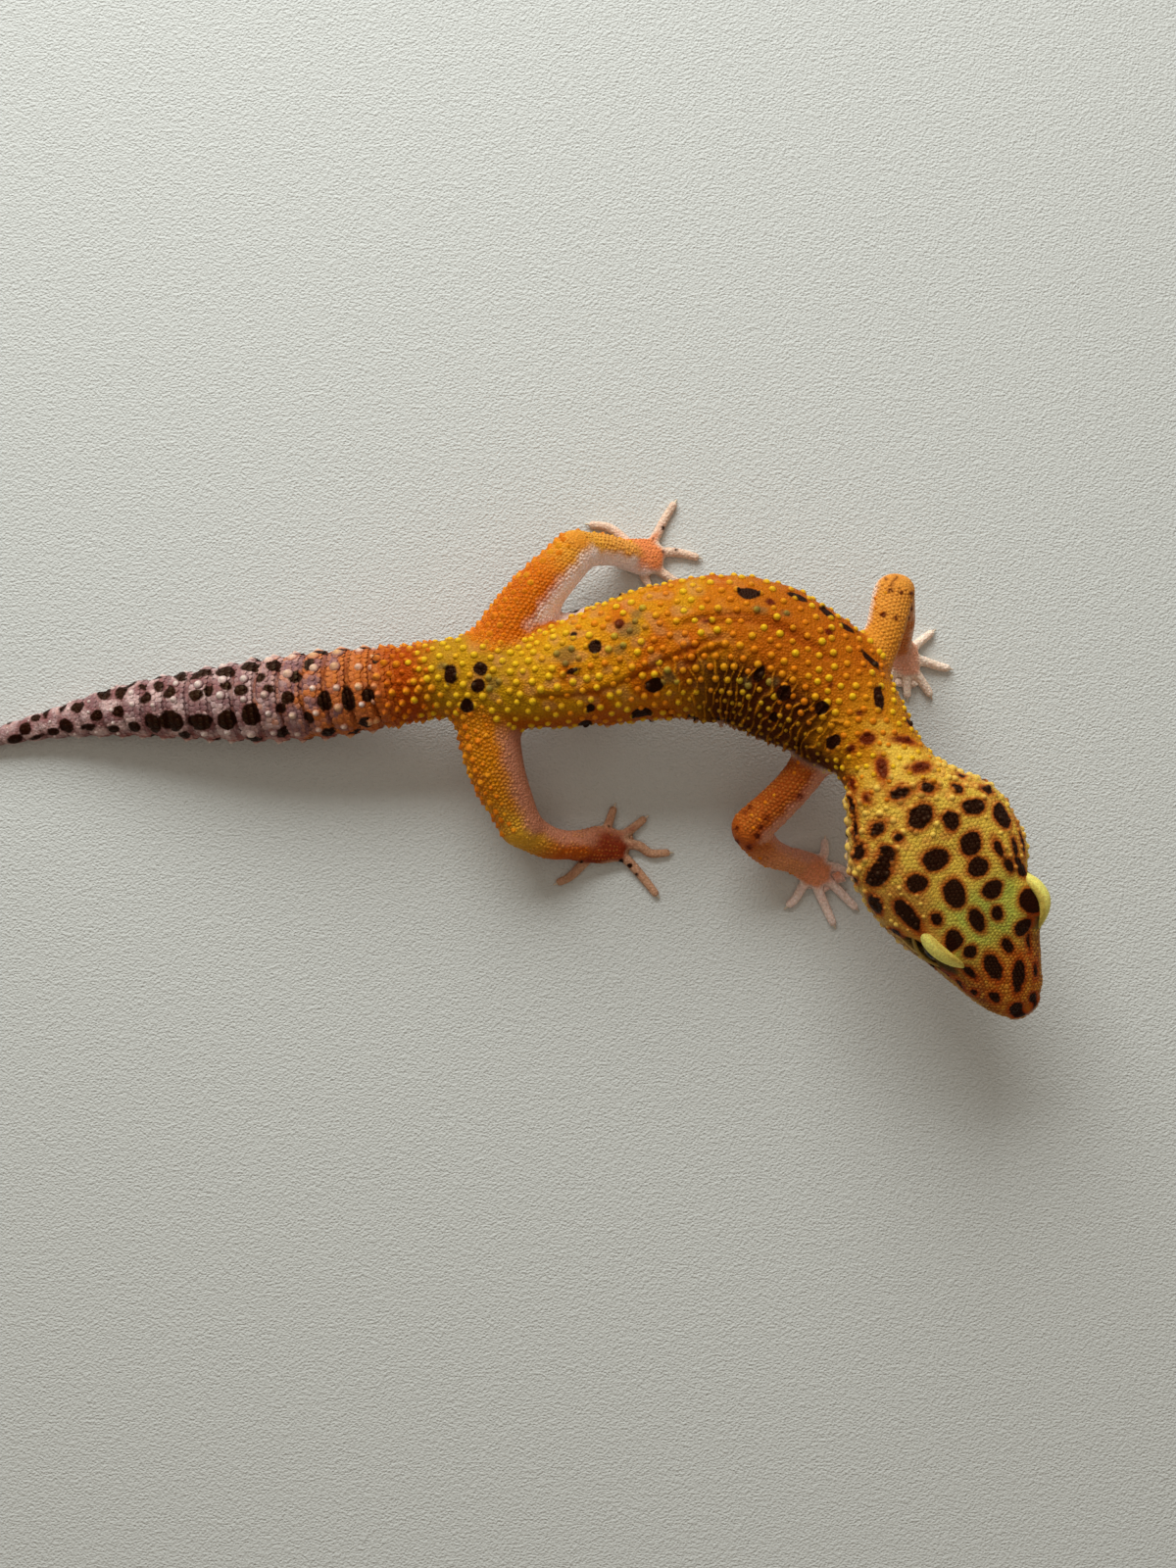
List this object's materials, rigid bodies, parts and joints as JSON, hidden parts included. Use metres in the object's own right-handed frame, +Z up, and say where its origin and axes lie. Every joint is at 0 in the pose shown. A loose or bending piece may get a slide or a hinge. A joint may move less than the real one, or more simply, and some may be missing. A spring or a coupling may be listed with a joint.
{
  "type": "leopard gecko model",
  "caption": "Still, life-size leopard gecko walking with its body bent and its head turned to its right, tail laid out behind it.",
  "frame": {"origin": "centre of the animal's footprint box, on the floor under it", "axes": "+X from the tail towards the shoulders, +Y to the animal's left, +Z up"},
  "size_m": [0.166, 0.0749, 0.0258],
  "materials": {
    "skin": "fine dry scales with small tubercles, orange-yellow with dark maroon spots",
    "eye": "wet clear cornea over a marbled iris with a slit pupil",
    "claw": "thin translucent horn"
  },
  "bodies": {
    "root": {"tail_tip": "skin", "tail_end": "skin", "tail_middle": "skin", "tail_root": "skin", "hips": "skin", "belly": "skin", "chest": "skin", "neck": "skin", "eye_left": "eye", "eye_right": "eye", "head": "skin", "lower_jaw": "skin", "claw_hind_right_1": "claw", "claw_hind_right_2": "claw", "claw_hind_right_3": "claw", "claw_hind_right_4": "claw", "claw_hind_right_5": "claw", "thigh_hind_right": "skin", "shin_hind_right": "skin", "foot_hind_right": "skin", "claw_hind_left_1": "claw", "claw_hind_left_2": "claw", "claw_hind_left_3": "claw", "claw_hind_left_4": "claw", "claw_hind_left_5": "claw", "thigh_hind_left": "skin", "shin_hind_left": "skin", "foot_hind_left": "skin", "claw_front_right_1": "claw", "claw_front_right_2": "claw", "claw_front_right_3": "claw", "claw_front_right_4": "claw", "claw_front_right_5": "claw", "upper_arm_front_right": "skin", "forearm_front_right": "skin", "hand_front_right": "skin", "claw_front_left_1": "claw", "claw_front_left_2": "claw", "claw_front_left_3": "claw", "claw_front_left_4": "claw", "claw_front_left_5": "claw", "upper_arm_front_left": "skin", "forearm_front_left": "skin", "hand_front_left": "skin"}
  },
  "joints": []
}
